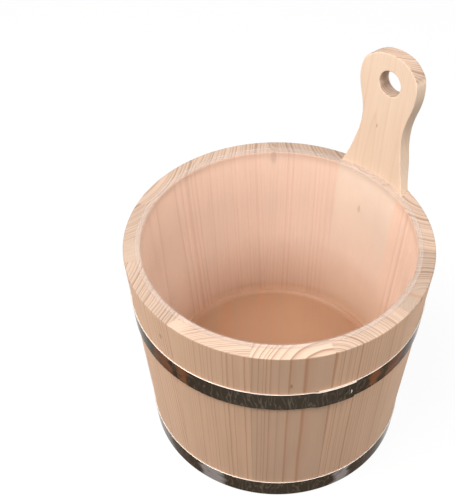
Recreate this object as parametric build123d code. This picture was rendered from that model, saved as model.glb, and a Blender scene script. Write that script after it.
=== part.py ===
from build123d import *
import os
from math import atan, cos, degrees, radians, sin

# A piggin: a tapered tub of staves, one of them left long as the handle, bound by two steel hoops,
# with a boarded floor in a groove and a thin lift-out liner that hangs by its flange on the rim.
# Lengths are in millimetres and angles in degrees. +Z is up, and the origin is where the tub's axis
# meets the ground. An azimuth turns anticlockwise, seen from above, from the front, which is -Y.

# Tub, with its staves named anticlockwise from the front
rim_radius = 125.0
foot_radius = 109.0
tub_height = 200.0
stave_thickness = 14.0
stave_arris = 0.8
first_joint_azimuth = -8.6
staves_before_handle_shares = (29.0, 31.8, 33.6, 32.9)
handle_stave_share = 34.2
staves_after_handle_shares = (32.9, 33.0, 32.9, 32.9, 35.3, 31.5)

# Floor boards, the groove that holds them and the dowels between them
floor_height = 24.0
floor_thickness = 14.0
floor_board_names = ("floor_board_left", "floor_board_middle", "floor_board_right")
croze_depth = 4.0
croze_play = 0.2
dowel_radius = 3.0
dowel_length = 30.0
dowel_spacing = 96.0
dowel_play = 0.05
dowel_end_play = 1.0

# Liner
liner_wall = 1.2
liner_play = 0.4
liner_corner_radius = 7.0
liner_lip_radius = 2.5
liner_flange_width = 4.7
liner_flange_thickness = 1.5
liner_edge_easing = 0.5

# Handle, measured up the board from the rim
handle_thickness = 12.0
handle_height = 115.5
handle_swell_height = 26.0
handle_root = 4.0
handle_side_inset = 0.2
handle_easing = 0.8
neck_width = 43.2
neck_height = 50.0
head_width = 56.6
crown_height = 18.5
hanging_hole_radius = 10.7
hanging_hole_drop = 25.5
base_splay = 6.0
flank_width_share = 0.39
flank_height_share = 0.44
shoulder_width_share = 0.84
shoulder_height_share = 0.56

# Hoops, each a strip with its ends lapped and riveted
hoop_width = 20.0
hoop_thickness = 1.0
hoop_play = 0.1
hoop_easing = 0.3
upper_hoop_drop = 45.0
lower_hoop_rise = 1.0
upper_rivet_azimuth = 27.5
lower_rivet_azimuth = 205.0
lap_length = 30.0
lap_play = 0.05
jog_length = 5.0
rivet_end_margin = 5.5

# Rivets
rivet_head_radius = 3.0
rivet_head_height = 1.5
rivet_shank_radius = 1.5
rivet_tail_radius = 2.4
rivet_tail_height = 0.6
rivet_play = 0.05
rivet_dent_play = 0.3

# How far a cutting shape runs past what it cuts
overrun = 1.0

# Worked out from the sizes above
taper = (rim_radius - foot_radius) / tub_height
lean = degrees(atan(taper))
croze_top = floor_height + floor_thickness + croze_play
croze_radius = foot_radius + taper * croze_top - stave_thickness + croze_depth
floor_radius = croze_radius - croze_play
liner_outside_at_rim = rim_radius - stave_thickness - liner_play
liner_flange_radius = liner_outside_at_rim + liner_flange_width
handle_bore = liner_flange_radius + liner_play
shares_total = sum(staves_before_handle_shares) + handle_stave_share + sum(staves_after_handle_shares)
handle_arc = 360 * handle_stave_share / shares_total
handle_arc_start = first_joint_azimuth + 360 * sum(staves_before_handle_shares) / shares_total
handle_azimuth = handle_arc_start + handle_arc / 2
head_height = handle_height - crown_height
hole_height = handle_height - hanging_hole_drop
upper_hoop_bottom = tub_height - upper_hoop_drop - hoop_width


def wall_radius(height):
    """Outer radius of the tub at a height above the ground."""
    return foot_radius + taper * height


def bore_radius(height):
    """Inner radius of the wooden wall at a height above the ground."""
    return wall_radius(height) - stave_thickness


def outward(azimuth):
    """Level direction away from the tub's axis."""
    return Vector(sin(radians(azimuth)), -cos(radians(azimuth)), 0)


def section_plane(azimuth):
    """Upright plane through the tub's axis: its x runs outward and its y runs up."""
    return Plane(origin=(0, 0, 0), x_dir=outward(azimuth), z_dir=outward(azimuth - 90))


def wall_plane(azimuth, radius, height):
    """Plane square to the leaning wall: its x runs round the tub, its y up the wall, its z outward."""
    normal = outward(azimuth) * cos(radians(lean)) - Vector(0, 0, sin(radians(lean)))
    centre = outward(azimuth) * radius + Vector(0, 0, height)
    return Plane(origin=centre, x_dir=outward(azimuth + 90), z_dir=normal)


def polygon(points):
    """Flat face inside a closed run of straight lines."""
    return make_face(Polyline(*points, close=True))


def turn(section, start_azimuth, arc):
    """Turn a section, drawn as radius and height, about the tub's axis."""
    return revolve(section_plane(start_azimuth) * section, axis=Axis.Z, revolution_arc=arc)


def arc_angle(length, height):
    """Angle that a length along the wall takes up at a height above the ground."""
    return degrees(length / wall_radius(height))


def stave_section(outer_rim):
    """Section of the wall with a groove for the floor: its edges are eased, and its outer rim is given."""
    upper = tub_height - stave_arris
    return polygon([
        (bore_radius(0) + stave_arris, 0),
        (foot_radius - stave_arris, 0),
        (wall_radius(stave_arris), stave_arris),
        *outer_rim,
        (bore_radius(tub_height) + stave_arris, tub_height),
        (bore_radius(upper), upper),
        (bore_radius(croze_top), croze_top),
        (croze_radius, croze_top),
        (croze_radius, floor_height),
        (bore_radius(floor_height), floor_height),
        (bore_radius(stave_arris), stave_arris),
    ])


def handle_section():
    """Section of the board above the rim: it starts flush behind and swells to its full thickness."""
    swell = tub_height + handle_swell_height
    end = tub_height + handle_height + overrun
    up_the_wall = (taper, 1)

    def front(height):
        return handle_bore + taper * (height - tub_height)

    def back(height):
        return front(height) + handle_thickness

    middle = (swell + end) / 2
    swelling = Spline(
        (rim_radius, tub_height), (back(swell), swell), (back(middle), middle), (back(end), end),
        tangents=(up_the_wall, up_the_wall))
    rest = Polyline((back(end), end), (front(end), end), (handle_bore, tub_height), (rim_radius, tub_height))
    return make_face([swelling, rest])


def handle_outline():
    """Shape of the board seen square on: a splayed base, a waist and a full round head."""
    base = handle_bore * sin(radians(handle_arc / 2)) - handle_side_inset
    neck = neck_width / 2
    head = head_width / 2
    right = [
        (base, -handle_root),
        (neck + flank_width_share * (base - neck), flank_height_share * neck_height),
        (neck, neck_height),
        (head, head_height),
        (shoulder_width_share * head, head_height + shoulder_height_share * crown_height),
    ]
    left = [(-across, up) for across, up in reversed(right)]
    inward = (-sin(radians(base_splay)), cos(radians(base_splay)))
    outward_again = (-sin(radians(base_splay)), -cos(radians(base_splay)))
    side = Spline(*right, (0, handle_height), *left, tangents=(inward, outward_again))
    return make_face([side, Line(left[-1], right[0])])


def handle_board():
    """The part of the handle stave that stands above the rim, its long edges eased."""
    face_plane = wall_plane(handle_azimuth, handle_bore, tub_height)
    reach = handle_thickness + stave_thickness
    shape = extrude(face_plane * handle_outline(), amount=reach, both=True)
    board = turn(handle_section(), handle_arc_start, handle_arc) & shape
    tall = board.edges().filter_by(lambda edge: edge.bounding_box().size.Z > neck_height)
    return fillet(tall.filter_by(GeomType.LINE, reverse=True), handle_easing)


def handle_stave():
    """The long stave: wall below the rim, handle above it, with a hanging hole eased at both faces."""
    seam_on_top = Rot(0, 0, 90)
    hole_plane = wall_plane(handle_azimuth, handle_bore + taper * hole_height, tub_height + hole_height)
    reach = handle_thickness + stave_thickness
    hole = extrude(hole_plane * seam_on_top * Circle(hanging_hole_radius), amount=reach, both=True)
    wall = turn(stave_section([(rim_radius, tub_height)]), handle_arc_start, handle_arc)
    stave = wall + handle_board() - hole
    return fillet(stave.edges().filter_by(lambda edge: edge.is_closed), handle_easing)


def floor_boards():
    """Round floor, cut into boards of equal width that run from front to back."""
    disc = Pos(0, 0, floor_height) * extrude(Circle(floor_radius), amount=floor_thickness)
    board_width = 2 * floor_radius / len(floor_board_names)
    boards = {}
    for index, name in enumerate(floor_board_names):
        left = -floor_radius + index * board_width
        strip = Pos(left + board_width / 2, 0, floor_height) * Box(
            board_width, 2 * floor_radius, 2 * floor_thickness + overrun)
        boards[name] = (disc & strip) - dowel_row(dowel_radius + dowel_play, dowel_length + 2 * dowel_end_play)
    return boards


def dowel_row(radius, length):
    """Dowels across the joints of the floor boards, or the holes that they need."""
    board_width = 2 * floor_radius / len(floor_board_names)
    middle = floor_height + floor_thickness / 2
    dowels = []
    for joint in range(1, len(floor_board_names)):
        across = -floor_radius + joint * board_width
        for side in (-1, 1):
            place = Pos(across, side * dowel_spacing / 2, middle) * Rot(0, 90, 0)
            dowels.append(place * Cylinder(radius, length))
    return Compound(children=dowels)


def liner():
    """Thin bucket: it follows the wooden bore a little inside it and turns out over the rim."""
    def outside(height):
        return liner_outside_at_rim + taper * (height - tub_height)

    bottom = floor_height + floor_thickness + liner_play
    floor = bottom + liner_wall
    top = tub_height + liner_flange_thickness
    section = polygon([
        (0, bottom),
        (outside(bottom), bottom),
        (outside(tub_height), tub_height),
        (liner_flange_radius, tub_height),
        (liner_flange_radius, top),
        (outside(top) - liner_wall, top),
        (outside(floor) - liner_wall, floor),
        (0, floor),
    ])
    rounds = (
        ((outside(bottom), bottom), liner_corner_radius + liner_wall),
        ((outside(floor) - liner_wall, floor), liner_corner_radius),
        ((outside(tub_height), tub_height), liner_lip_radius - liner_wall),
        ((outside(top) - liner_wall, top), liner_lip_radius),
        ((liner_flange_radius, tub_height), liner_edge_easing),
        ((liner_flange_radius, top), liner_edge_easing),
    )
    for corner, radius in rounds:
        section = fillet(section.vertices().sort_by_distance((*corner, 0))[0], radius)
    return turn(section, 0, 360)


def strip_section(bottom, lift):
    """Section of a hoop's strip against the leaning wall, or lifted off it where it laps."""
    top = bottom + hoop_width
    near = [(wall_radius(height) + hoop_play + lift, height) for height in (bottom, top)]
    far = [(radius + hoop_thickness, height) for radius, height in reversed(near)]
    strip = polygon([*near, *far])
    return fillet(strip.vertices(), hoop_easing)


def hoop(bottom, rivet_azimuth):
    """Strip bent round the tub: its last stretch steps out over its first, and a rivet holds them."""
    middle = bottom + hoop_width / 2
    lift = hoop_thickness + lap_play
    end = rivet_azimuth + arc_angle(rivet_end_margin, middle)
    lap_start = end - arc_angle(lap_length, middle)
    jog_start = lap_start - arc_angle(jog_length, middle)
    first = lap_start + arc_angle(lap_play, middle)
    under = turn(strip_section(bottom, 0), first, 360 + jog_start - first)
    step = loft([
        section_plane(jog_start) * strip_section(bottom, 0),
        section_plane(lap_start) * strip_section(bottom, lift),
    ], ruled=True)
    over = turn(strip_section(bottom, lift), lap_start, end - lap_start)
    hole = rivet_place(bottom, rivet_azimuth) * Cylinder(rivet_shank_radius + rivet_play, 4 * lift)
    return under + step + over - hole


def rivet_place(bottom, azimuth):
    """Where a hoop's rivet sits: on the outer face of the lap, half way up the strip."""
    middle = bottom + hoop_width / 2
    radius = wall_radius(middle) + hoop_play + 2 * hoop_thickness + lap_play
    return wall_plane(azimuth, radius, middle)


def rivet(bottom, azimuth):
    """Rivet with a domed head outside and a tail hammered flat against the wood."""
    grip = 2 * hoop_thickness + lap_play + rivet_play
    ball_radius = (rivet_head_radius ** 2 + rivet_head_height ** 2) / (2 * rivet_head_height)
    ball = Pos(0, 0, rivet_head_height - ball_radius) * Sphere(ball_radius)
    head = ball & Pos(0, 0, rivet_head_height / 2) * Cylinder(rivet_head_radius + overrun, rivet_head_height)
    shank = Pos(0, 0, -grip / 2) * Cylinder(rivet_shank_radius, grip)
    tail = Pos(0, 0, -grip - rivet_tail_height / 2) * Cylinder(rivet_tail_radius, rivet_tail_height)
    return rivet_place(bottom, azimuth) * (head + shank + tail)


def rivet_dent(bottom, azimuth):
    """Room in the wood for the tail of a rivet."""
    depth = 2 * hoop_thickness + lap_play + rivet_play + rivet_tail_height + rivet_dent_play
    bore = Pos(0, 0, -depth / 2) * Cylinder(rivet_tail_radius + rivet_dent_play, depth)
    return rivet_place(bottom, azimuth) * bore


def short_staves():
    """The staves of the tub apart from the handle stave, named in order from the front."""
    arcs = []
    azimuth = first_joint_azimuth
    for share in staves_before_handle_shares:
        arcs.append((azimuth, 360 * share / shares_total))
        azimuth += arcs[-1][1]
    azimuth += handle_arc
    for share in staves_after_handle_shares:
        arcs.append((azimuth, 360 * share / shares_total))
        azimuth += arcs[-1][1]
    upper = tub_height - stave_arris
    section = stave_section([(wall_radius(upper), upper), (rim_radius - stave_arris, tub_height)])
    dents = [
        rivet_dent(upper_hoop_bottom, upper_rivet_azimuth),
        rivet_dent(lower_hoop_rise, lower_rivet_azimuth),
    ]
    staves = {}
    for number, (start, arc) in enumerate(arcs, 1):
        staves[f"stave_{number:02d}"] = turn(section, start, arc) - dents
    return staves


def piggin():
    """Every piece of the piggin by name."""
    return {
        **short_staves(),
        "handle_stave": handle_stave(),
        **floor_boards(),
        "floor_dowels": dowel_row(dowel_radius, dowel_length),
        "upper_hoop": hoop(upper_hoop_bottom, upper_rivet_azimuth),
        "lower_hoop": hoop(lower_hoop_rise, lower_rivet_azimuth),
        "upper_hoop_rivet": rivet(upper_hoop_bottom, upper_rivet_azimuth),
        "lower_hoop_rivet": rivet(lower_hoop_rise, lower_rivet_azimuth),
        "liner": liner(),
    }


os.makedirs("parts", exist_ok=True)
for name, piece in piggin().items():
    export_step(piece, f"parts/{name}.step")
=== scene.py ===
from math import atan, cos, degrees, pi, radians, sin

import bmesh
import bpy
from bpy.props import FloatProperty, FloatVectorProperty, PointerProperty
from mathutils import Euler, Matrix, Vector


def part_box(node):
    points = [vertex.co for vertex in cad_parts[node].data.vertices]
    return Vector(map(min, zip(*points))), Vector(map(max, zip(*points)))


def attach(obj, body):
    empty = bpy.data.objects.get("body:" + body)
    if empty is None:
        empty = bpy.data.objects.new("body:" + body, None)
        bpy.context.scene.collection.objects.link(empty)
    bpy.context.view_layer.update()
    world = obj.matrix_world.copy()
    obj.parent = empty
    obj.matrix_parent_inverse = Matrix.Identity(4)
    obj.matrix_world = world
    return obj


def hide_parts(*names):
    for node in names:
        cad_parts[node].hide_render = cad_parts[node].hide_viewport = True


bl_info = {
    "name": "Wooden piggin",
    "version": (1, 0, 0),
    "blender": (4, 5, 0),
    "location": "3D View > Sidebar > Piggin",
    "description": "A stave-built wooden pail with a long handle stave, steel hoops and a lift-out liner",
    "category": "Object",
}

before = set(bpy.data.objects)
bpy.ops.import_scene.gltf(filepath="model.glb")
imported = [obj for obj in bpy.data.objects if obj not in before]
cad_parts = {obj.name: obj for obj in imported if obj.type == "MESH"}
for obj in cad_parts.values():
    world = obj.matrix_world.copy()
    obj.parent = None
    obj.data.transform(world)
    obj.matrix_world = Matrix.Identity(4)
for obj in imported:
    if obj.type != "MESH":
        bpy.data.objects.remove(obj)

# Lengths are in metres, but those in a wood's grain are in millimetres. Azimuths are in degrees and
# turn anticlockwise, seen from above, from the front, which is -Y.
MILLIMETRE = 0.001
MERGE_DISTANCE = 1e-6
LEVEL_TOLERANCE = 1e-5
SMOOTH_ANGLE = 40

# The least part along an axis that the normal of a face has when the face counts as looking that way.
FACING = 0.99

# The first joint between two staves, and the staves' widths as shares of the way round from there.
FIRST_JOINT_AZIMUTH = -8.6
STAVES_BEFORE_HANDLE_SHARES = (29.0, 31.8, 33.6, 32.9)
HANDLE_STAVE_SHARE = 34.2
STAVES_AFTER_HANDLE_SHARES = (32.9, 33.0, 32.9, 32.9, 35.3, 31.5)

# The handle's outline between the points that its sizes give, as shares of the way between them.
FLANK_WIDTH_SHARE, FLANK_HEIGHT_SHARE = 0.39, 0.44
SHOULDER_WIDTH_SHARE, SHOULDER_HEIGHT_SHARE = 0.84, 0.56

# How long the handles of a curve are that round a quarter circle, as a share of its radius.
QUARTER_CIRCLE_SHARE = 0.5523

# Strips and rows that the handle's flat faces are divided into, so that they can be bent.
BEND_STRIP = 0.003
SWELL_ROWS = 7

# The wood's grain: how far its rings wander slowly and quickly, how much their radius grows with each
# millimetre up the board, the largest radius on a ramp, a knot's width as a share of its length, how
# strongly knots and late wood show, and the share of the late wood that is left in clear wood.
RING_DRIFT, RING_BEND = 4, 1.6
GRAIN_TILT = 0.006
RING_RANGE = 100.0
KNOT_WIDTH_SHARE = 0.35
KNOT_STRENGTH = 0.55
LATE_WOOD_STRENGTH, END_LATE_WOOD_STRENGTH = 0.7, 0.95
CLEAR_WOOD_SHARE = 0.12

# Painted reflections of brighter things that the hoops mirror, painted into their colour, each at an
# azimuth and with a width, both in degrees.
UPPER_HOOP_PAINTED_BROWN = ((-134, 24), (-46.5, 10), (-36.5, 4), (39.5, 4), (50, 9), (128, 26))
UPPER_HOOP_PAINTED_PALE = ((-90, 44), (88, 46), (-178, 14))
LOWER_HOOP_PAINTED_PALE = ((-118, 12), (-68, 30), (-28, 11), (32, 8), (76, 30), (140, 12))
PAINTED_REFLECTION_SOFTNESS = 0.002

# Where a painted highlight sits on a rivet's head, as if it caught the light: turned from its azimuth, and
# slightly down.
PAINTED_GLINT_TURN, PAINTED_GLINT_DROP = 60, 0.1

# How each board was sawn: where its pith lies beside the middle of its face, across it and beyond it,
# and its ring width. Where it matters, also the radii of its rings, the stretch across it over which
# the rings fade in, its knots as a place across, a height and a size, the tint of its wood, of its
# lower end and of its end grain, and the contrast of its rings. Its noises differ with its place here.
# The floor boards' dark tint is painted shade on the floor inside the pail.
FLOOR_WOOD_PAINTED_SHADE = {"contrast": 0.5, "tint": (0.49, 0.42, 0.37)}
BOARDS = {
    "stave_01": dict(pith=(31, 24), ring_width=4.0, end_tint=1.14, knots=[(0, 164, 1.6)],
                     rings=(24, 33.5, 41.8, 48.4, 54.2, 57.1, 59.1, 62.5, 67.4)),
    "stave_02": dict(pith=(-38, 4), ring_width=2.6, end_tint=0.96, tint=(1.07, 1.07, 1.05)),
    "stave_03": dict(pith=(-24, 6), ring_width=3.0, end_tint=0.75, tint=(1.09, 1.1, 1.1),
                     clear=(-12, -2), knots=[(-17, 199, 3.0)]),
    "stave_04": dict(pith=(42, 20), ring_width=3.8, end_tint=0.96, tint=(1.05, 1.04, 1.0)),
    "handle_stave": dict(pith=(11, 14), ring_width=2.1, contrast=0.24, tint=(1.0, 1.21, 1.38),
                         low_tint=(1.0, 1.02, 1.0), knots=[(7, 159, 2.6), (6, 246, 1.3)]),
    "stave_05": dict(pith=(-90, 42), ring_width=3.2, end_tint=0.84, contrast=0.65,
                     knots=[(26.5, 190, 4.6)]),
    "stave_06": dict(pith=(90, 40), ring_width=3.0, end_tint=0.93, contrast=0.65),
    "stave_07": dict(pith=(25, 90), ring_width=3.0, end_tint=0.95),
    "stave_08": dict(pith=(-70, 48), ring_width=2.0, end_tint=0.87, clear=(16, 4)),
    "stave_09": dict(pith=(-120, 88), ring_width=2.7, end_tint=0.9, tint=(1.15, 1.17, 1.17),
                     knots=[(26, 170, 2.2)]),
    "stave_10": dict(pith=(113, 146), ring_width=2.1, end_tint=1.05, tint=(1.12, 1.12, 1.1),
                     clear=(-24, -14)),
    "floor_board_left": dict(pith=(20, 60), ring_width=3.2, **FLOOR_WOOD_PAINTED_SHADE),
    "floor_board_middle": dict(pith=(-10, 50), ring_width=3.0, **FLOOR_WOOD_PAINTED_SHADE),
    "floor_board_right": dict(pith=(15, 60), ring_width=3.4, **FLOOR_WOOD_PAINTED_SHADE),
}


def number(name, description, default, unit="NONE"):
    """A number that a user may change."""
    return FloatProperty(name=name, description=description, default=default, unit=unit)


def length(name, description, default):
    """A length that a user may change."""
    return number(name, description, default, unit="LENGTH")


def shade(name, description, default):
    """A colour that a user may change."""
    return FloatVectorProperty(
        name=name, description=description, default=default, subtype="COLOR", min=0, max=1)


class TubSizes(bpy.types.PropertyGroup):
    """Sizes of the staves and the floor"""

    rim_radius: length("Rim radius", "Outer radius at the rim", -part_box("stave_01")[0].y)
    foot_radius: length("Foot radius", "Outer radius at the foot", 0.109)
    height: length("Height", "Height of the short staves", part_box("stave_01")[1].z)
    stave_thickness: length("Stave thickness", "Thickness of the wall", 0.014)
    arris: length("Arris", "Rounding of the rim and the foot", 0.0008)
    joint_easing: length("Joint easing", "Rounding of the edges where two staves meet", 0.0001)
    groove_depth: length("Groove depth", "Depth of the groove that holds the floor", 0.004)
    groove_play: length("Groove play", "Room between the floor and its groove", 0.0002)
    dowel_radius: length("Dowel radius", "Radius of the floor's dowels", 0.003)
    dowel_length: length("Dowel length", "Length of the floor's dowels", 0.030)
    dowel_spacing: length("Dowel spacing", "Distance between two dowels of one joint", 0.096)
    dowel_easing: length("Dowel easing", "Rounding of the dowels' ends", 0.0006)
    dowel_play: length("Dowel play", "Room round a dowel in its hole", 0.00005)
    dowel_end_play: length("Dowel end play", "How much longer its hole is", 0.002)


class HandleSizes(bpy.types.PropertyGroup):
    """Sizes of the board above the rim, measured up the board"""

    thickness: length("Thickness", "Thickness of the handle", 0.012)
    height: length("Height", "Height above the rim", 0.1155)
    root: length("Root", "How far the board reaches down into the wall", 0.002)
    inner_radius: length("Inner radius", "Radius of its inner face at the rim", 0.1157)
    swell_height: length("Swell height", "Height at which it has its full thickness", 0.026)
    easing: length("Easing", "Rounding of its edges", 0.0008)
    base_width: length("Base width", "Width at the rim", 0.0672)
    neck_width: length("Neck width", "Width of the waist", 0.0432)
    neck_height: length("Neck height", "Height of the waist", 0.050)
    head_width: length("Head width", "Width of the head", 0.0566)
    head_height: length("Head height", "Height at which the head is widest", 0.097)
    hole_height: length("Hole height", "Height of the middle of the hole", 0.090)
    hole_radius: length("Hole radius", "Radius of the hanging hole", 0.0107)


class HoopSizes(bpy.types.PropertyGroup):
    """Sizes of the hoops and their rivets"""

    thickness: length("Thickness", "Thickness of the strip", 0.001)
    play: length("Play", "Room between strip and wood", 0.0001)
    easing: length("Easing", "Rounding of the strip's edges", 0.0003)
    lap_length: length("Lap length", "Length that the ends lap", 0.030)
    jog_length: length("Jog length", "Length over which the strip steps out", 0.005)
    rivet_margin: length("Rivet margin", "Distance from the rivet to the strip's end", 0.0055)
    rivet_head_radius: length("Rivet head radius", "Radius of the domed head", 0.003)
    rivet_head_height: length("Rivet head height", "Height of the domed head", 0.0015)
    rivet_shank_radius: length("Rivet shank radius", "Radius of the shank", 0.0015)
    rivet_tail_radius: length("Rivet tail radius", "Radius of the hammered tail", 0.0024)
    rivet_tail_height: length("Rivet tail height", "Height of the hammered tail", 0.0006)
    upper_rivet_azimuth: number("Upper rivet azimuth", "Where the upper hoop is riveted, in degrees", 27.5)
    lower_rivet_azimuth: number("Lower rivet azimuth", "Where the lower hoop is riveted, in degrees", 205)


class LinerSizes(bpy.types.PropertyGroup):
    """Sizes of the plastic liner"""

    wall: length("Wall", "Thickness of the plastic", 0.0012)
    seat_gap: length("Seat gap", "Room between the flange and the rim", 0.00005)
    outside_at_rim: length("Outside at rim", "Outer radius of its wall at the rim", 0.1106)
    corner_radius: length("Corner radius", "Rounding between wall and floor", 0.0082)
    lip_radius: length("Lip radius", "Rounding between wall and flange", 0.0025)
    edge_easing: length("Edge easing", "Rounding of the flange's edge", 0.0004)


class Colours(bpy.types.PropertyGroup):
    """Colours of the wood, the steel and the plastic"""

    early_wood: shade("Early wood", "Pale wood between the growth rings", (0.845, 0.533, 0.348))
    late_wood: shade("Late wood", "Darker wood of the growth rings", (0.56, 0.18, 0.05))
    end_grain: shade("End grain", "Pale wood on the end grain", (0.50, 0.36, 0.27))
    end_late_wood: shade("End late wood", "Growth rings on the end grain", (0.20, 0.10, 0.055))
    knot: shade("Knot", "Small knots, and dirt in the joints", (0.34, 0.17, 0.09))
    # The steel's colour is painted dark: a painted reflection of a dark room.
    steel: shade("Steel", "Polished steel of the hoops", (0.053, 0.043, 0.033))
    # Painted highlight: the light colour painted on the hoops' upward edges and as the rivets' glint.
    painted_highlight: shade("Steel edge", "Bright cut edge of the strip", (0.82, 0.74, 0.66))
    steel_grazing: shade("Steel grazing", "Tint of the hoops' mirror at their sides", (0.50, 0.47, 0.45))
    # Painted reflections: colours painted into the hoops where they mirror wood and a bright wall.
    painted_brown_reflection: shade("Steel brown", "Wood mirrored in the hoop", (0.21, 0.092, 0.05))
    painted_pale_reflection: shade("Steel pale", "Bright wall mirrored in the hoops", (0.30, 0.27, 0.26))
    plastic: shade("Plastic", "Milky plastic of the liner", (1.0, 0.93, 0.87))
    plastic_lip: shade("Plastic lip", "Bent lip and flange of the liner", (0.68, 0.57, 0.51))
    # Painted light: the liner's emission, a glow near the rim that stands in for light falling there.
    painted_liner_glow: shade("Plastic glow", "Light that the liner carries down its wall", (0.28, 0.22, 0.18))
    # Painted shade: the liner's colour towards its bottom, darker and browner.
    plastic_painted_shade: shade("Plastic deep", "Bottom of the liner, where it is thicker", (0.39, 0.205, 0.115))
    birch: shade("Birch", "Wood of the dowels", (0.72, 0.52, 0.35))
    backdrop_seen: shade("Backdrop seen", "Floor, as the camera sees it", (0.9, 0.9, 0.9))
    backdrop: shade("Backdrop", "Floor, as it lights the pail", (0.20, 0.20, 0.20))


class StageSizes(bpy.types.PropertyGroup):
    """Camera and lights"""

    camera_place: FloatVectorProperty(
        name="Camera place", description="Where the camera stands", subtype="TRANSLATION",
        unit="LENGTH", default=(0, -0.5924, 0.7654))
    camera_aim: FloatVectorProperty(
        name="Camera aim", description="Point in the middle of the picture", subtype="TRANSLATION",
        unit="LENGTH", default=(-0.0412, 0, 0.1860))
    camera_roll: FloatProperty(
        name="Camera roll", description="Tilt of the camera about its line of sight",
        subtype="ANGLE", default=radians(-1.247))
    camera_lens: number("Lens", "Focal length in millimetres on a 36 mm sensor", 73.43)
    floor_size: length("Floor size", "Side of the floor", 8)
    floor_whiteness: number("Floor whiteness", "How much of the floor shines white where it is seen", 0.92)
    key_power: number("Key power", "Power of the lamp on the left", 33)
    fill_power: number("Fill power", "Power of the lamp on the right", 16)
    lamp_distance: length("Lamp distance", "From the lamps to the pail", 1.5)
    lamp_size: length("Lamp size", "Side of the square lamps", 1.0)
    sky_strength: number("Sky strength", "Strength of the light from all round", 0.05)


def tub_radius(height):
    """Outer radius of the tub at a height above the ground."""
    return bpy.context.scene.piggin_tub.foot_radius + taper() * height


def taper():
    """How much the tub's radius grows with each metre of height."""
    tub = bpy.context.scene.piggin_tub
    return (tub.rim_radius - tub.foot_radius) / tub.height


def outward(azimuth):
    """Level direction away from the tub's axis."""
    return Vector((sin(radians(azimuth)), -cos(radians(azimuth)), 0))


def stave_arcs():
    """Start and extent of each stave round the tub, by the name of its node."""
    shares = (*STAVES_BEFORE_HANDLE_SHARES, HANDLE_STAVE_SHARE, *STAVES_AFTER_HANDLE_SHARES)
    before = len(STAVES_BEFORE_HANDLE_SHARES)
    arcs = {}
    azimuth = FIRST_JOINT_AZIMUTH
    for index, share in enumerate(shares):
        order = index + (index < before)
        name = "handle_stave" if index == before else f"stave_{order:02d}"
        arcs[name] = (azimuth, 360 * share / sum(shares))
        azimuth += arcs[name][1]
    return arcs


def choose(piece):
    """Select one object alone and make it the active one."""
    bpy.ops.object.select_all(action="DESELECT")
    piece.select_set(True)
    bpy.context.view_layer.objects.active = piece


def settle(piece):
    """Move an object's place, turn and scale into its mesh."""
    choose(piece)
    bpy.ops.object.transform_apply(location=True, rotation=True, scale=True)


def begin(name, add, stretch=(1, 1, 1), **settings):
    """Add a primitive by itself, with its place in its mesh, and open it for editing."""
    bpy.ops.object.select_all(action="DESELECT")
    add(**settings)
    piece = bpy.context.object
    piece.name = name
    piece.scale = stretch
    settle(piece)
    bpy.ops.object.mode_set(mode="EDIT")
    return piece


def pick(piece, kind, test=lambda part: True):
    """Select only the vertices, edges or faces that pass a test."""
    bpy.ops.mesh.select_mode(type=kind)
    bpy.ops.mesh.select_all(action="DESELECT")
    mesh = bmesh.from_edit_mesh(piece.data)
    parts = {"VERT": mesh.verts, "EDGE": mesh.edges, "FACE": mesh.faces}[kind]
    for part in parts:
        if test(part):
            part.select_set(True)
    bmesh.update_edit_mesh(piece.data)


def divide(piece, planes, test=lambda face: True):
    """Cut the faces that pass a test along planes, each given by a point and its normal."""
    for point, normal in planes:
        pick(piece, "FACE", test)
        bpy.ops.mesh.bisect(plane_co=point, plane_no=normal)


def modify(piece, kind, **settings):
    """Add a modifier and apply it."""
    bpy.context.view_layer.objects.active = piece
    modifier = piece.modifiers.new(kind.title(), kind)
    for name, value in settings.items():
        setattr(modifier, name, value)
    bpy.ops.object.modifier_apply(modifier=modifier.name)


def combine(piece, operation, other):
    """Unite a piece with another mesh, or cut that out of it. The other mesh is used up."""
    modify(piece, "BOOLEAN", operation=operation, solver="EXACT", object=other)
    bpy.data.objects.remove(other)


def close_up(piece):
    """Merge doubled points, turn every face outwards and leave edit mode."""
    pick(piece, "VERT")
    bpy.ops.mesh.remove_doubles(threshold=MERGE_DISTANCE)
    bpy.ops.mesh.normals_make_consistent(inside=False)
    bpy.ops.object.mode_set(mode="OBJECT")


def ease(piece, width, segments=2, least_angle=50):
    """Round the edges that are sharper than an angle."""
    modify(piece, "BEVEL", width=width, segments=segments, limit_method="ANGLE",
           angle_limit=radians(least_angle), use_clamp_overlap=False, harden_normals=False)


def turn_about_axis(piece, azimuth):
    """Turn a piece made at the front to its azimuth, and keep its place in its mesh."""
    piece.rotation_euler = (0, 0, radians(azimuth))
    settle(piece)


def dress(piece, body, nodes, material):
    """Smooth a finished piece, give it its material, put it under its body and hide the parts that it
    stands in for.
    """
    choose(piece)
    bpy.ops.object.shade_smooth_by_angle(angle=radians(SMOOTH_ANGLE))
    modify(piece, "WEIGHTED_NORMAL", keep_sharp=True)
    piece.data.materials.clear()
    piece.data.materials.append(material)
    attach(piece, body)
    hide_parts(*nodes)


class Value:
    """A socket's number, vector or colour. Expressions on numbers become Math nodes."""

    def __init__(self, finish, socket):
        self.finish = finish
        self.socket = socket

    def math(self, operation, other=0.0):
        return self.finish.math(operation, self, other)

    def __add__(self, other):
        return self.math("ADD", other)

    __radd__ = __add__

    def __mul__(self, other):
        return self.math("MULTIPLY", other)

    __rmul__ = __mul__

    def __sub__(self, other):
        return self.math("SUBTRACT", other)

    def __rsub__(self, other):
        return self.finish.math("SUBTRACT", other, self)

    def __truediv__(self, other):
        return self.math("DIVIDE", other)

    def __pow__(self, other):
        return self.math("POWER", other)

    def __abs__(self):
        return self.math("ABSOLUTE")


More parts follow.
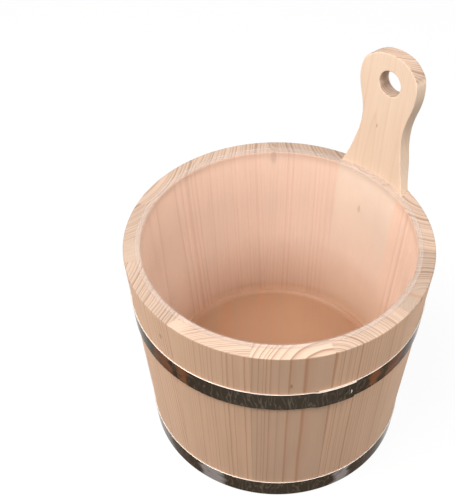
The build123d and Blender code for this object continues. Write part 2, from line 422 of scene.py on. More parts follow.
class Finish:
    """The nodes of a material, or of the sky, under construction."""

    def __init__(self, name, kind="materials"):
        self.owner = getattr(bpy.data, kind).new(name)
        self.owner.use_nodes = True
        self.tree = self.owner.node_tree
        self.tree.nodes.clear()

    def node(self, kind, settings=None, sockets=None, output=0):
        """Add a node: its settings come first, then the numbers or links of its sockets."""
        node = self.tree.nodes.new("ShaderNode" + kind)
        for name, value in (settings or {}).items():
            if name == "stops":
                self.set_stops(node.color_ramp, value)
            else:
                setattr(node, name, value)
        for name, value in (sockets or {}).items():
            if isinstance(value, Value):
                self.tree.links.new(value.socket, node.inputs[name])
            else:
                node.inputs[name].default_value = value
        return Value(self, node.outputs[output]) if node.outputs else node

    def set_stops(self, ramp, stops):
        """Give a colour ramp its grey stops, as pairs of place and level."""
        while len(ramp.elements) > 1:
            ramp.elements.remove(ramp.elements[-1])
        for index, (place, level) in enumerate(stops):
            element = ramp.elements[0] if index == 0 else ramp.elements.new(place)
            element.position = place
            element.color = (level, level, level, 1)

    def math(self, operation, first, second):
        """A sum on one or two numbers."""
        return self.node("Math", {"operation": operation}, {0: first, 1: second})

    def vector(self, operation, first, second=(0, 0, 0)):
        """A sum on vectors: a number for a dot product or a length, and otherwise a vector."""
        output = "Value" if operation in ("DOT_PRODUCT", "LENGTH") else "Vector"
        return self.node("VectorMath", {"operation": operation}, {0: first, 1: second}, output)

    def split(self, vector):
        """The three numbers of a vector."""
        node = self.node("SeparateXYZ", None, {0: vector}).socket.node
        return [Value(self, output) for output in node.outputs]

    def ramp(self, value, *stops, interpolation="LINEAR"):
        """A number bent through a run of stops."""
        ramp = self.node("ValToRGB", {"stops": stops}, {0: value})
        ramp.socket.node.color_ramp.interpolation = interpolation
        return ramp

    def blend(self, first, second, share, how="MIX"):
        """Mix two colours."""
        settings = {"data_type": "RGBA", "blend_type": how}
        return self.node("Mix", settings, {0: share, 6: first, 7: second}, output=2)

    def lit(self, colour, level):
        """A colour made lighter or darker by a number."""
        grey = self.node("CombineColor", None, {0: level, 1: level, 2: level})
        return self.blend(colour, grey, 1.0, "MULTIPLY")

    def noise(self, place, scale, seed, detail=2.0, roughness=0.5):
        """Soft noise around one half, at a scale for each direction."""
        return self.node("TexNoise", {"noise_dimensions": "4D"}, {
            "Vector": self.vector("MULTIPLY", place, scale), "W": seed, "Scale": 1.0,
            "Detail": detail, "Roughness": roughness})

    def surface(self, **sockets):
        """End the material in a Principled surface, and hand the material back."""
        named = {name.replace("_", " "): value for name, value in sockets.items()}
        self.node("OutputMaterial", None, {"Surface": self.node("BsdfPrincipled", None, named)})
        return self.owner


def opaque(colour, tint=(1, 1, 1)):
    """A colour with each of its parts scaled by the tint's, and full alpha."""
    return (*(part * share for part, share in zip(colour, tint)), 1)


def stave_grain(azimuth, node):
    """Place and turn of the pith beside a stave, which leans with the tub."""
    across, outside = BOARDS[node]["pith"]
    level = bpy.context.scene.piggin_tub.foot_radius + outside * MILLIMETRE
    place = outward(azimuth) * level + outward(azimuth + 90) * (across * MILLIMETRE)
    return place, (atan(taper()), 0, radians(azimuth))


def floor_grain(middle, top, node):
    """Place and turn of the pith above a floor board, whose grain runs from front to back."""
    across, above = BOARDS[node]["pith"]
    return Vector((middle + across * MILLIMETRE, 0, top + above * MILLIMETRE)), (-pi / 2, 0, 0)


def growth_rings(finish, place, board, seed):
    """How dark the late wood and how dark the knots are, from nought to one. Knots bend the rings."""
    side, depth, along = finish.split(place)
    drift = finish.noise(place, (0.010, 0.010, 0.0022), seed, detail=1.0)
    bent = finish.noise(place, (0.05, 0.05, 0.012), seed + 3)
    radius = (side * side + depth * depth) ** 0.5 + along * GRAIN_TILT
    radius = radius + (drift - 0.5) * RING_DRIFT + (bent - 0.5) * RING_BEND
    core = 0.0
    for across, up, size in board.get("knots", ()):
        away = finish.vector("SUBTRACT", place, (across - board["pith"][0], 0, up))
        flat = finish.vector("MULTIPLY", away, (1 / size, 0, KNOT_WIDTH_SHARE / size))
        distance = finish.vector("LENGTH", flat)
        radius = radius + finish.ramp(distance, (0, 1), (1, 0), interpolation="EASE") * size
        core = finish.ramp(distance, (0, 1), (0.35, 0.9), (0.7, 0)) + core

    # Count the years outwards from the pith: by the board's own rings, or by unequal ones.
    if "rings" in board:
        rings = board["rings"]
        years = len(rings) + 1
        stops = [(ring / RING_RANGE, (index + 1) / years) for index, ring in enumerate(rings)]
        last = ((rings[-1] + board["ring_width"]) / RING_RANGE, 1)
        year = finish.ramp(radius / RING_RANGE, (0, 0), *stops, last) * years
    else:
        year = radius / board["ring_width"]
        uneven = finish.node("TexNoise", {"noise_dimensions": "1D"}, {
            "W": year * 0.45 + seed * 7.3, "Scale": 1.0, "Detail": 2.0})
        year = year + uneven * 2.0

    # Each year darkens slowly and ends at once, some years more strongly than others.
    strength = finish.node("TexWhiteNoise", {"noise_dimensions": "1D"}, {"W": year.math("FLOOR") + seed})
    late = finish.ramp(
        year.math("FRACT"), (0.0, 0.6), (0.06, 0.0), (0.5, 0.03), (0.8, 0.25), (0.94, 1.0), (1.0, 0.6))
    late = late * (strength * 0.6 + 0.4)
    if "clear" in board:
        start, end = board["clear"]
        late = late * finish.node("MapRange", None, {
            0: side + board["pith"][0], 1: start, 2: end, 3: CLEAR_WOOD_SHARE, 4: 1.0})
    return late, core


def spruce(name, node, grain, joints=None):
    """Sanded spruce of a node's board, with growth rings about a pith that lies beside it."""
    colours = bpy.context.scene.piggin_colours
    finish = Finish(name)
    board = BOARDS[node]
    seed = 1.0 + list(BOARDS).index(node)
    origin, turn = grain
    body = finish.node("TexCoord", output="Object")
    place = finish.node("Mapping", {"vector_type": "TEXTURE"}, {
        "Vector": body, "Location": origin, "Rotation": turn, "Scale": (MILLIMETRE,) * 3})
    late, core = growth_rings(finish, place, board, seed)

    fibre = finish.noise(place, (1.6, 1.6, 0.02), seed + 11, detail=3.0, roughness=0.6)
    patch = finish.noise(place, (0.05, 0.05, 0.012), seed + 5)
    along = Euler(turn).to_matrix() @ Vector((0, 0, 1))
    ending = abs(finish.vector("DOT_PRODUCT", finish.node("TexCoord", output="Normal"), along))
    end = finish.ramp(ending, (0.3, 0), (0.6, 1))

    early_wood = opaque(colours.early_wood, board.get("tint", (1, 1, 1)))
    if "low_tint" in board:
        level = finish.split(body)[2] / bpy.context.scene.piggin_tub.height
        low_wood = opaque(colours.early_wood, board["low_tint"])
        early_wood = finish.blend(low_wood, early_wood, finish.ramp(level, (0.45, 0), (1.0, 1)))
    end_tint = (board.get("end_tint", 1.0),) * 3
    pale = finish.blend(early_wood, opaque(colours.end_grain, end_tint), end)
    dark = finish.blend(opaque(colours.late_wood), opaque(colours.end_late_wood, end_tint), end)
    lengthwise = LATE_WOOD_STRENGTH * board.get("contrast", 1.0)
    strength = lengthwise + (END_LATE_WOOD_STRENGTH - lengthwise) * end
    wood = finish.blend(pale, dark, late ** (1.0 - 0.4 * end) * strength)
    wood = finish.lit(wood, (fibre - 0.5) * 0.16 + (patch - 0.5) * 0.2 + 1.0)
    if "knots" in board:
        wood = finish.blend(wood, opaque(colours.knot), core * KNOT_STRENGTH)
    if joints:
        wood = finish.blend(wood, opaque(colours.knot), joint_dirt(finish, body, joints, seed))

    height = late * 0.35 + fibre * 0.9
    bump = finish.node("Bump", None, {"Strength": 0.2, "Distance": 0.0003, "Height": height})
    rough = 0.66 - 0.14 * late + (fibre - 0.5) * 0.12
    return finish.surface(Base_Color=wood, Roughness=rough, Normal=bump)


def joint_dirt(finish, body, joints, seed):
    """Faint dirt where a stave meets its neighbours, mostly on the outside."""
    tub = bpy.context.scene.piggin_tub
    azimuth, half_arc = joints
    turn = radians(azimuth)
    east, north, up = finish.split(body)
    ahead = east * sin(turn) - north * cos(turn)
    sideways = east * cos(turn) + north * sin(turn)
    arc_left = radians(half_arc) - abs(sideways.math("ARCTAN2", ahead))
    gap = arc_left * (tub_radius(tub.height / 2) / MILLIMETRE)
    depth = (tub_radius(0) + up * taper() - ahead) / tub.stave_thickness
    outside = finish.ramp(depth, (0.1, 1), (0.6, 0.2))
    grime = finish.ramp(finish.noise(body, (40, 40, 25), seed + 9), (0.5, 0.1), (0.7, 0.45))
    return finish.ramp(gap, (0.0, 1), (0.55, 0)) * grime * outside


def painted_reflection(finish, body, places):
    """How strongly a hoop is painted with a reflection of something bright at some places round it, with
    wavy edges.
    """
    east, north, _ = finish.split(body)
    waves = finish.noise(body, (45, 45, 110), 4.0)
    turn = east.math("ARCTAN2", -1 * north) / (2 * pi) + 0.5 + (waves - 0.5) * 0.03
    soft = PAINTED_REFLECTION_SOFTNESS
    stops = [(0.0, 0.0)]
    for middle, width in places:
        start = (middle - width / 2) / 360 + 0.5
        end = (middle + width / 2) / 360 + 0.5
        stops += [(start - soft, 0.0), (start + soft, 1.0), (end - soft, 1.0), (end + soft, 0.0)]
    blotch = finish.ramp(finish.noise(body, (70, 70, 120), 12.0), (0.40, 0.6), (0.46, 1.0))
    return finish.ramp(turn, *stops) * blotch


def steel(name, painted_reflections=(), painted_glint=None):
    """Polished steel painted dark for the dark room that it mirrors, with painted paler and browner
    reflections, painted light swirls and a painted highlight.
    """
    colours = bpy.context.scene.piggin_colours
    finish = Finish(name)
    body = finish.node("TexCoord", output="Object")
    normal = finish.node("TexCoord", output="Normal")
    # Painted reflection: the steel's colour is kept dark as the mirror of a dark room, and painted lighter
    # in wavy swirls.
    lines = finish.noise(body, (30, 30, 2500), 1.0)
    painted_swirl = (finish.noise(body, (110, 110, 22), 8.0) * 9.0).math("FRACT")
    painted_swirl = finish.ramp(painted_swirl, (0.35, 0), (0.5, 1), (0.65, 0))
    colour = finish.lit(opaque(colours.steel), (lines - 0.5) * 0.3 + painted_swirl * 1.2 + 1.0)

    # Patches of painted reflection, browner and paler, laid over the steel's colour.
    for tone, places in painted_reflections:
        colour = finish.blend(colour, opaque(tone), painted_reflection(finish, body, places))
    # Painted highlight: a light crescent on a rivet's head on one side, or a light line along a hoop's
    # upward-facing edge.
    if painted_glint:
        edge = finish.ramp(finish.vector("DOT_PRODUCT", normal, painted_glint), (0.66, 0), (0.76, 1))
    else:
        edge = finish.ramp(finish.split(normal)[2], (0.35, 0), (0.75, 1))
    colour = finish.blend(colour, opaque(colours.painted_highlight), edge)
    bump = finish.node("Bump", None, {"Strength": 0.05, "Distance": 0.0001, "Height": lines})
    return finish.surface(
        Base_Color=colour, Metallic=1.0 - 0.6 * edge, Roughness=0.16 + (lines - 0.5) * 0.06 + edge * 0.2,
        Specular_Tint=opaque(colours.steel_grazing), Normal=bump)


def plastic(name):
    """Milky plastic that lets the wood show through softly, with painted shade towards the bottom, a paler
    lip and a painted glow near the rim.
    """
    colours = bpy.context.scene.piggin_colours
    tub = bpy.context.scene.piggin_tub
    finish = Finish(name)
    body = finish.node("TexCoord", output="Object")
    east, north, height = finish.split(body)
    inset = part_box("liner")[1].x - (east * east + north * north) ** 0.5
    above_rim = (height - tub.height) / MILLIMETRE
    level = height / tub.height
    cloud = finish.noise(body, (22, 22, 22), 2.0, detail=3.0)
    wave = finish.noise(body, (60, 60, 25), 6.0)

    # Painted shade: the liner's colour darkens towards the bottom.
    low = finish.ramp(level, (0.2, 1), (0.26, 0.6), (0.55, 0))
    lip = finish.ramp(above_rim * 0.01 + 0.5, (0.42, 0), (0.47, 0.5), (0.495, 1))
    colour = finish.blend(opaque(colours.plastic), opaque(colours.plastic_painted_shade), low)
    colour = finish.blend(colour, opaque(colours.plastic_lip), lip)
    # Painted light: the liner glows more towards its rim, where it would be lit.
    painted_glow = finish.ramp(level, (0.35, 0), (0.75, 0.12), (0.95, 0.65), (0.975, 0.6), (1.0, 0.1))
    painted_glow = finish.blend((0, 0, 0, 1), opaque(colours.painted_liner_glow), painted_glow)
    feathered = finish.ramp(inset / MILLIMETRE, (0, 0.3), (0.8, 1))
    fading = finish.ramp(level, (0.985, 1), (1.0, 0.85))
    milkiness = (0.21 + (cloud - 0.5) * 0.04) * fading
    bump = finish.node("Bump", None, {"Strength": 0.1, "Distance": 0.0004, "Height": wave})
    return finish.surface(
        Base_Color=colour, Alpha=milkiness * feathered,
        Emission_Color=painted_glow, Emission_Strength=1.0, Roughness=0.36 + cloud * 0.1, IOR=1.5, Normal=bump)


def birch(name):
    """Plain turned birch of the dowels."""
    finish = Finish(name)
    fibre = finish.noise(finish.node("TexCoord", output="Object"), (40, 2500, 2500), 3.0)
    colour = finish.lit(opaque(bpy.context.scene.piggin_colours.birch), (fibre - 0.5) * 0.3 + 1.0)
    return finish.surface(Base_Color=colour, Roughness=0.6 + (fibre - 0.5) * 0.1)


def seen_rays(finish):
    """One for rays from the camera, a mirror or a glass, and zero for the rest."""
    kinds = ("Is Camera Ray", "Is Glossy Ray", "Is Transmission Ray")
    camera, glossy, through = (finish.node("LightPath", output=kind) for kind in kinds)
    return (camera + glossy + through).math("MINIMUM", 1.0)


def white_where_seen(name, share):
    """A matt surface that is white to the camera and in reflections, and still takes a shadow."""
    colours = bpy.context.scene.piggin_colours
    finish = Finish(name)
    seen = seen_rays(finish)
    colour = finish.blend(opaque(colours.backdrop), opaque(colours.backdrop_seen), seen)
    matt = finish.node("BsdfDiffuse", None, {"Color": colour})
    white = finish.node("Emission", None, {"Color": (1, 1, 1, 1), "Strength": 1.0})
    mixed = finish.node("MixShader", None, {0: seen * share, 1: matt, 2: white})
    finish.node("OutputMaterial", None, {"Surface": mixed})
    return finish.owner


class PIGGIN_OT_stage(bpy.types.Operator):
    """Set up the camera, the pale floor, the sky and the lamps"""

    bl_idname = "piggin.stage"
    bl_label = "Stage"

    def execute(self, context):
        sizes = context.scene.piggin_stage
        self.camera(sizes)
        floor = begin("floor", bpy.ops.mesh.primitive_plane_add, size=sizes.floor_size)
        bpy.ops.object.mode_set(mode="OBJECT")
        floor.data.materials.append(white_where_seen("pale_floor", sizes.floor_whiteness))
        self.sky(sizes)
        self.lamp("key_lamp", sizes, azimuth=-60, rise=65, power=sizes.key_power)
        self.lamp("fill_lamp", sizes, azimuth=62, rise=58, power=sizes.fill_power)
        context.scene.view_settings.view_transform = "Standard"
        return {"FINISHED"}

    def camera(self, sizes):
        """Put the camera at the photograph's place, height and tilt."""
        bpy.ops.object.camera_add(location=sizes.camera_place)
        camera = bpy.context.object
        view = Vector(sizes.camera_aim) - Vector(sizes.camera_place)
        turn = view.to_track_quat("-Z", "Y").to_matrix() @ Matrix.Rotation(sizes.camera_roll, 3, "Z")
        camera.rotation_euler = turn.to_euler()
        camera.data.lens = sizes.camera_lens
        bpy.context.scene.camera = camera

    def sky(self, sizes):
        """Light from all round, white where it is seen."""
        finish = Finish("sky", "worlds")
        strength = seen_rays(finish) * (1.0 - sizes.sky_strength) + sizes.sky_strength
        light = finish.node("Background", None, {"Color": (1, 1, 1, 1), "Strength": strength})
        finish.node("OutputWorld", None, {"Surface": light})
        bpy.context.scene.world = finish.owner

    def lamp(self, name, sizes, azimuth, rise, power):
        """Hang a square soft lamp that faces the pail."""
        middle = Vector((0, 0, bpy.context.scene.piggin_tub.height / 2))
        aside = outward(azimuth) * cos(radians(rise)) + Vector((0, 0, sin(radians(rise))))
        bpy.ops.object.light_add(type="AREA", location=middle + aside * sizes.lamp_distance)
        lamp = bpy.context.object
        lamp.name = name
        lamp.data.size = sizes.lamp_size
        lamp.data.energy = power
        lamp.rotation_euler = (-aside).to_track_quat("-Z", "Y").to_euler()


def leaning_section(name, radius, thickness, bottom, top):
    """Flat section at the front, leaning with the tub. The radius is its middle's, at the bottom."""
    middle = (bottom + top) / 2
    piece = begin(name, bpy.ops.mesh.primitive_plane_add, size=1, rotation=(0, pi / 2, 0),
                  location=(0, -radius, middle), stretch=(top - bottom, thickness, 1))
    pick(piece, "VERT", lambda vertex: vertex.co.z > middle)
    bpy.ops.transform.translate(value=(0, -taper() * (top - bottom), 0))
    return piece


def spin(piece, arc, steps_per_degree=0.7):
    """Turn the selected faces about the tub's axis and leave their far end selected."""
    steps = max(2, round(arc * steps_per_degree))
    bpy.ops.mesh.spin(steps=steps, angle=-radians(arc), center=(0, 0, 0), axis=(0, 0, 1))


def wall_section(name, rim_rounded):
    """Section of the wall at the front, with the floor's groove cut across it."""
    tub = bpy.context.scene.piggin_tub
    radius = tub.foot_radius - tub.stave_thickness / 2
    piece = leaning_section(name, radius, tub.stave_thickness, 0, tub.height)
    low, high = (corner.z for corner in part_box("floor_board_middle"))
    high += tub.groove_play
    wall = tub.stave_thickness - tub.groove_depth
    divide(piece, (
        ((0, 0, low), (0, 0, 1)),
        ((0, 0, high), (0, 0, 1)),
        ((0, -tub.foot_radius + wall, 0), (0, 1, taper())),
    ))

    def in_groove(face):
        centre = face.calc_center_median()
        return -centre.y < tub_radius(centre.z) - wall and low < centre.z < high

    pick(piece, "FACE", in_groove)
    bpy.ops.mesh.delete(type="FACE")

    def is_corner(vertex):
        square = vertex.is_boundary and len(vertex.link_edges) == 2
        at_foot = vertex.co.z < tub.arris
        at_rim = vertex.co.z > tub.height - tub.arris
        inside = -vertex.co.y < tub.rim_radius - tub.stave_thickness / 2
        return square and (at_foot or at_rim and (rim_rounded or inside))

    pick(piece, "VERT", is_corner)
    bpy.ops.mesh.bevel(offset=tub.arris, segments=3, affect="VERTICES")
    return piece


def stave_blank(name, arc, rim_rounded=True):
    """A stave at the front, before its joints are eased."""
    piece = wall_section(name, rim_rounded)
    pick(piece, "FACE")
    spin(piece, arc)
    close_up(piece)
    return piece


class PIGGIN_OT_staves(bpy.types.Operator):
    """Model the ten short staves, each from its own board"""

    bl_idname = "piggin.staves"
    bl_label = "Short staves"

    def execute(self, context):
        for node, (start, arc) in stave_arcs().items():
            if node == "handle_stave":
                continue
            piece = stave_blank("spruce_" + node, arc)
            ease(piece, context.scene.piggin_tub.joint_easing)
            turn_about_axis(piece, start)
            middle = start + arc / 2
            material = spruce(node + "_spruce", node, stave_grain(middle, node), (middle, arc / 2))
            dress(piece, "pail", [node], material)
        return {"FINISHED"}


class PIGGIN_OT_handle(bpy.types.Operator):
    """Model the long stave that is the handle"""

    bl_idname = "piggin.handle"
    bl_label = "Handle stave"

    def execute(self, context):
        start, arc = stave_arcs()["handle_stave"]
        middle = start + arc / 2
        wall = stave_blank("spruce_handle_stave", arc, rim_rounded=False)
        turn_about_axis(wall, -arc / 2)
        upper = self.board(context.scene.piggin_handle)
        ease(wall, context.scene.piggin_tub.joint_easing)
        combine(wall, "UNION", upper)
        turn_about_axis(wall, middle)
        material = spruce("handle_spruce", "handle_stave", stave_grain(middle, "handle_stave"))
        dress(wall, "pail", ["handle_stave"], material)
        return {"FINISHED"}

    def board(self, sizes):
        """The board above the rim, cut to its outline, hollowed to the tub's curve and leaned."""
        board = self.flat_board(sizes)
        tub = bpy.context.scene.piggin_tub
        root = tub.rim_radius - sizes.inner_radius
        for vertex in board.data.vertices:
            across, deep, up = vertex.co
            rise = min(max(up / sizes.swell_height, 0), 1)
            swell = rise * rise * (3 - 2 * rise)
            deep *= (root + (sizes.thickness - root) * swell) / sizes.thickness
            vertex.co.y = deep - across * across / (2 * (sizes.inner_radius + deep))
        board.rotation_euler = (atan(taper()), 0, 0)
        board.location = (0, -sizes.inner_radius, tub.height)
        board.scale = (1, -1, 1)
        settle(board)
        bpy.ops.object.mode_set(mode="EDIT")
        close_up(board)
        return board

    def flat_board(self, sizes):
        """The board laid out flat: its outline and its hole as one filled curve with eased edges."""
        curve = bpy.data.curves.new("handle_outline", "CURVE")
        curve.dimensions = "2D"
        curve.fill_mode = "BOTH"
        curve.resolution_u = 16
        self.outline(curve, sizes)
        self.hole(curve, sizes)
        curve.offset = -sizes.easing
        curve.bevel_depth = sizes.easing
        curve.bevel_resolution = 2
        curve.extrude = sizes.thickness / 2 - sizes.easing
        board = bpy.data.objects.new("handle_board", curve)
        bpy.context.scene.collection.objects.link(board)
        choose(board)
        bpy.ops.object.convert(target="MESH")
        board = bpy.context.object
        board.rotation_euler = (pi / 2, 0, 0)
        board.location = (0, sizes.thickness / 2, 0)
        settle(board)
        bpy.ops.object.mode_set(mode="EDIT")
        pick(board, "VERT")
        bpy.ops.mesh.remove_doubles(threshold=MERGE_DISTANCE)
        count = int(sizes.base_width / 2 / BEND_STRIP)
        strips = [((index * BEND_STRIP, 0, 0), (1, 0, 0)) for index in range(-count, count + 1)]
        heights = [index * sizes.swell_height / SWELL_ROWS for index in range(1, SWELL_ROWS + 1)]
        rows = [((0, 0, height), (0, 0, 1)) for height in heights]
        divide(board, strips + rows, lambda face: abs(face.normal.y) > FACING)
        bpy.ops.object.mode_set(mode="OBJECT")
        return board

    def outline(self, curve, sizes):
        """Splayed base, waist and round head, as smooth points mirrored about the middle."""
        base, neck, head = sizes.base_width / 2, sizes.neck_width / 2, sizes.head_width / 2
        crown = sizes.height - sizes.head_height
        right = [
            (base, -sizes.root),
            (neck + FLANK_WIDTH_SHARE * (base - neck), FLANK_HEIGHT_SHARE * sizes.neck_height),
            (neck, sizes.neck_height),
            (head, sizes.head_height),
            (SHOULDER_WIDTH_SHARE * head, sizes.head_height + SHOULDER_HEIGHT_SHARE * crown),
        ]
        points = [*right, (0, sizes.height), *((-across, up) for across, up in reversed(right))]
        spline = curve.splines.new("BEZIER")
        spline.bezier_points.add(len(points) - 1)
        for knot, (across, up) in zip(spline.bezier_points, points):
            knot.co = (across, up, 0)
            knot.handle_left_type = knot.handle_right_type = "AUTO"
        for knot in (spline.bezier_points[0], spline.bezier_points[-1]):
            knot.handle_left_type = knot.handle_right_type = "VECTOR"
        spline.use_cyclic_u = True

    def hole(self, curve, sizes):
        """The hanging hole, as a circle that runs the other way round."""
        centre = Vector((0, sizes.hole_height, 0))
        reach = sizes.hole_radius * QUARTER_CIRCLE_SHARE
        spline = curve.splines.new("BEZIER")
        spline.bezier_points.add(3)
        for index, knot in enumerate(spline.bezier_points):
            angle = -index * pi / 2
            along = Vector((sin(angle), -cos(angle), 0))
            knot.co = centre + Vector((cos(angle), sin(angle), 0)) * sizes.hole_radius
            knot.handle_left = knot.co - along * reach
            knot.handle_right = knot.co + along * reach
        spline.use_cyclic_u = True


class PIGGIN_OT_floor_boards(bpy.types.Operator):
    """Model the floor boards and their dowels"""

    bl_idname = "piggin.floor_boards"
    bl_label = "Floor boards"

    def execute(self, context):
        tub = context.scene.piggin_tub
        for node in ("floor_board_left", "floor_board_middle", "floor_board_right"):
            low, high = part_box(node)
            piece = begin("spruce_" + node, bpy.ops.mesh.primitive_cylinder_add, vertices=160,
                          radius=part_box("floor_board_middle")[1].y, depth=high.z - low.z,
                          location=(0, 0, (low.z + high.z) / 2))
            for edge, side in ((low.x, -1), (high.x, 1)):
                if abs(edge) < tub.foot_radius / 2:
                    pick(piece, "FACE")
                    bpy.ops.mesh.bisect(plane_co=(edge, 0, 0), plane_no=(side, 0, 0), use_fill=True,
                                        clear_outer=True)
            close_up(piece)
            ease(piece, tub.joint_easing)
            holes = self.dowels("dowel_holes", tub, tub.dowel_play, tub.dowel_end_play)
            combine(piece, "DIFFERENCE", holes)
            material = spruce(node + "_spruce", node, floor_grain((low.x + high.x) / 2, high.z, node))
            dress(piece, "pail", [node], material)
        dowels = self.dowels("birch_dowels", tub)
        ease(dowels, tub.dowel_easing)
        dress(dowels, "pail", ["floor_dowels"], birch("dowel_birch"))
        return {"FINISHED"}

    def dowels(self, name, tub, play=0, end_play=0):
        """Four dowels across the joints of the floor boards, joined as one mesh."""
        low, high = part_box("floor_board_middle")
        made = []
        for joint in (low.x, high.x):
            for side in (-1, 1):
                dowel = begin(name, bpy.ops.mesh.primitive_cylinder_add, vertices=24,
                              radius=tub.dowel_radius + play, depth=tub.dowel_length + end_play,
                              rotation=(0, pi / 2, 0),
                              location=(joint, side * tub.dowel_spacing / 2, (low.z + high.z) / 2))
                close_up(dowel)
                made.append(dowel)
        choose(made[0])
        for dowel in made:
            dowel.select_set(True)
        bpy.ops.object.join()
        return made[0]


class PIGGIN_OT_hoops(bpy.types.Operator):
    """Model the two steel hoops, each with its lap"""

    bl_idname = "piggin.hoops"
    bl_label = "Hoops"

    def execute(self, context):
        hoops = context.scene.piggin_hoops
        colours = context.scene.piggin_colours
        # The painted reflections of each hoop, as a colour and its places.
        upper = ((colours.painted_brown_reflection, UPPER_HOOP_PAINTED_BROWN), (colours.painted_pale_reflection, UPPER_HOOP_PAINTED_PALE))
        lower = ((colours.painted_pale_reflection, LOWER_HOOP_PAINTED_PALE),)
        places = (("upper_hoop", hoops.upper_rivet_azimuth, upper),
                  ("lower_hoop", hoops.lower_rivet_azimuth, lower))
        for node, azimuth, painted_reflections in places:
            low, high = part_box(node)
            piece = self.hoop("steel_" + node, hoops, low.z, high.z, azimuth)
            dress(piece, "pail", [node], steel(node + "_steel", painted_reflections))
        return {"FINISHED"}

    def hoop(self, name, hoops, bottom, top, rivet_azimuth):
        """Turn the strip round the tub, step it out over its first stretch and run on over that."""
        middle_radius = tub_radius((bottom + top) / 2)
        margin = degrees(hoops.rivet_margin / middle_radius)
        lap = degrees(hoops.lap_length / middle_radius)
        jog = degrees(hoops.jog_length / middle_radius)
        radius = tub_radius(bottom) + hoops.play + hoops.thickness / 2
        piece = leaning_section(name, radius, hoops.thickness, bottom, top)
        pick(piece, "VERT")
        bpy.ops.mesh.bevel(offset=hoops.easing, segments=3, affect="VERTICES")
        pick(piece, "FACE")
        spin(piece, 360 - jog, steps_per_degree=0.6)
        bpy.ops.mesh.extrude_region_move()
        bpy.ops.transform.rotate(value=radians(-jog), orient_axis="Z", center_override=(0, 0, 0))
        bpy.ops.transform.translate(value=(0, -hoops.thickness - hoops.play / 2, 0))
        spin(piece, lap, steps_per_degree=0.6)
        close_up(piece)
        turn_about_axis(piece, rivet_azimuth + margin - lap)
        return piece


class PIGGIN_OT_rivets(bpy.types.Operator):
    """Model the rivets through the laps of the hoops"""

    bl_idname = "piggin.rivets"
    bl_label = "Rivets"

    def execute(self, context):
        hoops = context.scene.piggin_hoops
        first = self.rivet("steel_upper_hoop_rivet", hoops)
        second = first.copy()
        second.data = first.data.copy()
        second.name = "steel_lower_hoop_rivet"
        context.scene.collection.objects.link(second)
        places = ((first, "upper_hoop", hoops.upper_rivet_azimuth),
                  (second, "lower_hoop", hoops.lower_rivet_azimuth))
        for piece, node, azimuth in places:
            low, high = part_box(node)
            middle = (low.z + high.z) / 2
            seat = tub_radius(middle) + hoops.play * 1.5 + 2 * hoops.thickness
            piece.rotation_euler = (pi / 2 + atan(taper()), 0, radians(azimuth))
            piece.location = outward(azimuth) * seat + Vector((0, 0, middle))
            settle(piece)
            # Painted highlight: the direction in which the rivet's head is painted light.
            painted_glint = (outward(azimuth + PAINTED_GLINT_TURN) - Vector((0, 0, PAINTED_GLINT_DROP))).normalized()
            dress(piece, "pail", [node + "_rivet"], steel(node + "_rivet_steel", painted_glint=painted_glint))
        return {"FINISHED"}

    def rivet(self, name, hoops):
        """A rivet that stands on its tail: a dome cut from a ball, a shank and a flattened tail."""
        head, rise = hoops.rivet_head_radius, hoops.rivet_head_height
        ball = (head ** 2 + rise ** 2) / (2 * rise)
        piece = begin(name, bpy.ops.mesh.primitive_uv_sphere_add, segments=32, ring_count=32,
                      radius=ball, location=(0, 0, rise - ball))
        pick(piece, "FACE")
        bpy.ops.mesh.bisect(plane_co=(0, 0, 0), plane_no=(0, 0, 1), clear_inner=True, use_fill=True)
        pick(piece, "FACE", lambda face: face.normal.z < -FACING)
        grip = 2 * hoops.thickness + hoops.play
        bpy.ops.mesh.inset(thickness=head - hoops.rivet_shank_radius)
        bpy.ops.mesh.extrude_region_move(TRANSFORM_OT_translate={"value": (0, 0, -grip)})
        bpy.ops.mesh.extrude_region_move()
        wider = hoops.rivet_tail_radius / hoops.rivet_shank_radius
        bpy.ops.transform.resize(value=(wider, wider, 1))
        bpy.ops.mesh.extrude_region_move(
            TRANSFORM_OT_translate={"value": (0, 0, -hoops.rivet_tail_height)})
        close_up(piece)
        ease(piece, hoops.easing / 2)
        return piece


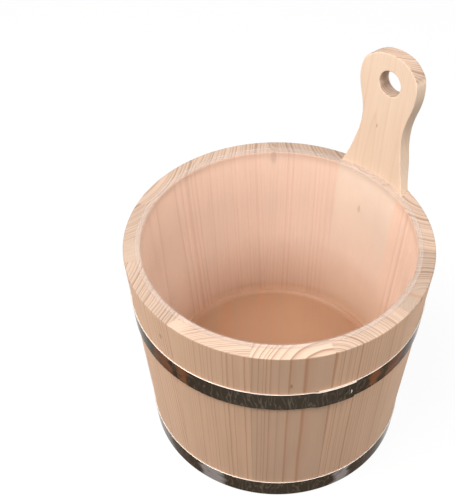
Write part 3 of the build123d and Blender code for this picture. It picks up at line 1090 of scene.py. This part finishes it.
class PIGGIN_OT_liner(bpy.types.Operator):
    """Model the thin liner that hangs by its flange on the rim"""

    bl_idname = "piggin.liner"
    bl_label = "Liner"

    def execute(self, context):
        sizes = context.scene.piggin_liner
        tub = context.scene.piggin_tub
        low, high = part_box("liner")
        bottom_radius = sizes.outside_at_rim + taper() * (low.z - tub.height)
        seat = tub.height + sizes.seat_gap
        piece = begin("plastic_liner", bpy.ops.mesh.primitive_circle_add, vertices=192,
                      radius=bottom_radius, fill_type="TRIFAN", location=(0, 0, low.z))
        pick(piece, "EDGE", lambda edge: edge.is_boundary)
        self.grow(seat - low.z, sizes.outside_at_rim / bottom_radius)
        self.grow(0, high.x / sizes.outside_at_rim)
        for level, radius, segments in ((low.z, sizes.corner_radius, 8), (seat, sizes.lip_radius, 5)):
            pick(piece, "EDGE", lambda edge: self.is_bend(edge, level))
            bpy.ops.mesh.bevel(offset=radius, segments=segments, affect="EDGES")
        close_up(piece)
        modify(piece, "SOLIDIFY", thickness=sizes.wall - sizes.seat_gap, offset=1, use_even_offset=True)
        bpy.ops.object.mode_set(mode="EDIT")
        close_up(piece)
        ease(piece, sizes.edge_easing)
        dress(piece, "liner", ["liner"], plastic("liner_milky_plastic"))
        return {"FINISHED"}

    def grow(self, rise, scale):
        """Extrude the selected ring upwards and widen it."""
        bpy.ops.mesh.extrude_region_move(TRANSFORM_OT_translate={"value": (0, 0, rise)})
        bpy.ops.transform.resize(value=(scale, scale, 1), center_override=(0, 0, 0))

    def is_bend(self, edge, level, least_angle=20):
        """Whether an edge lies on the ring at a level where the liner bends."""
        flat = all(abs(vertex.co.z - level) < LEVEL_TOLERANCE for vertex in edge.verts)
        return flat and len(edge.link_faces) == 2 and edge.calc_face_angle(0) > radians(least_angle)


class PIGGIN_PT_panel(bpy.types.Panel):
    """The sidebar's list of the pieces"""

    bl_idname = "PIGGIN_PT_panel"
    bl_label = "Wooden piggin"
    bl_space_type = "VIEW_3D"
    bl_region_type = "UI"
    bl_category = "Piggin"

    def draw(self, context):
        for operator in OPERATORS:
            self.layout.operator(operator.bl_idname)
        for name in GROUPS:
            settings = getattr(context.scene, name)
            box = self.layout.box()
            box.label(text=type(settings).__doc__)
            for setting in type(settings).__annotations__:
                box.prop(settings, setting)


OPERATORS = (
    PIGGIN_OT_stage,
    PIGGIN_OT_staves,
    PIGGIN_OT_handle,
    PIGGIN_OT_floor_boards,
    PIGGIN_OT_hoops,
    PIGGIN_OT_rivets,
    PIGGIN_OT_liner,
)
GROUPS = {
    "piggin_tub": TubSizes,
    "piggin_handle": HandleSizes,
    "piggin_hoops": HoopSizes,
    "piggin_liner": LinerSizes,
    "piggin_colours": Colours,
    "piggin_stage": StageSizes,
}
CLASSES = (*GROUPS.values(), *OPERATORS, PIGGIN_PT_panel)


def register():
    for made in CLASSES:
        bpy.utils.register_class(made)
    for name, group in GROUPS.items():
        setattr(bpy.types.Scene, name, PointerProperty(type=group))


def unregister():
    for name in GROUPS:
        delattr(bpy.types.Scene, name)
    for made in reversed(CLASSES):
        bpy.utils.unregister_class(made)


def main():
    register()
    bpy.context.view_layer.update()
    bpy.ops.piggin.stage()
    bpy.ops.piggin.staves()
    bpy.ops.piggin.handle()
    bpy.ops.piggin.floor_boards()
    bpy.ops.piggin.hoops()
    bpy.ops.piggin.rivets()
    bpy.ops.piggin.liner()


if __name__ == "__main__":
    main()
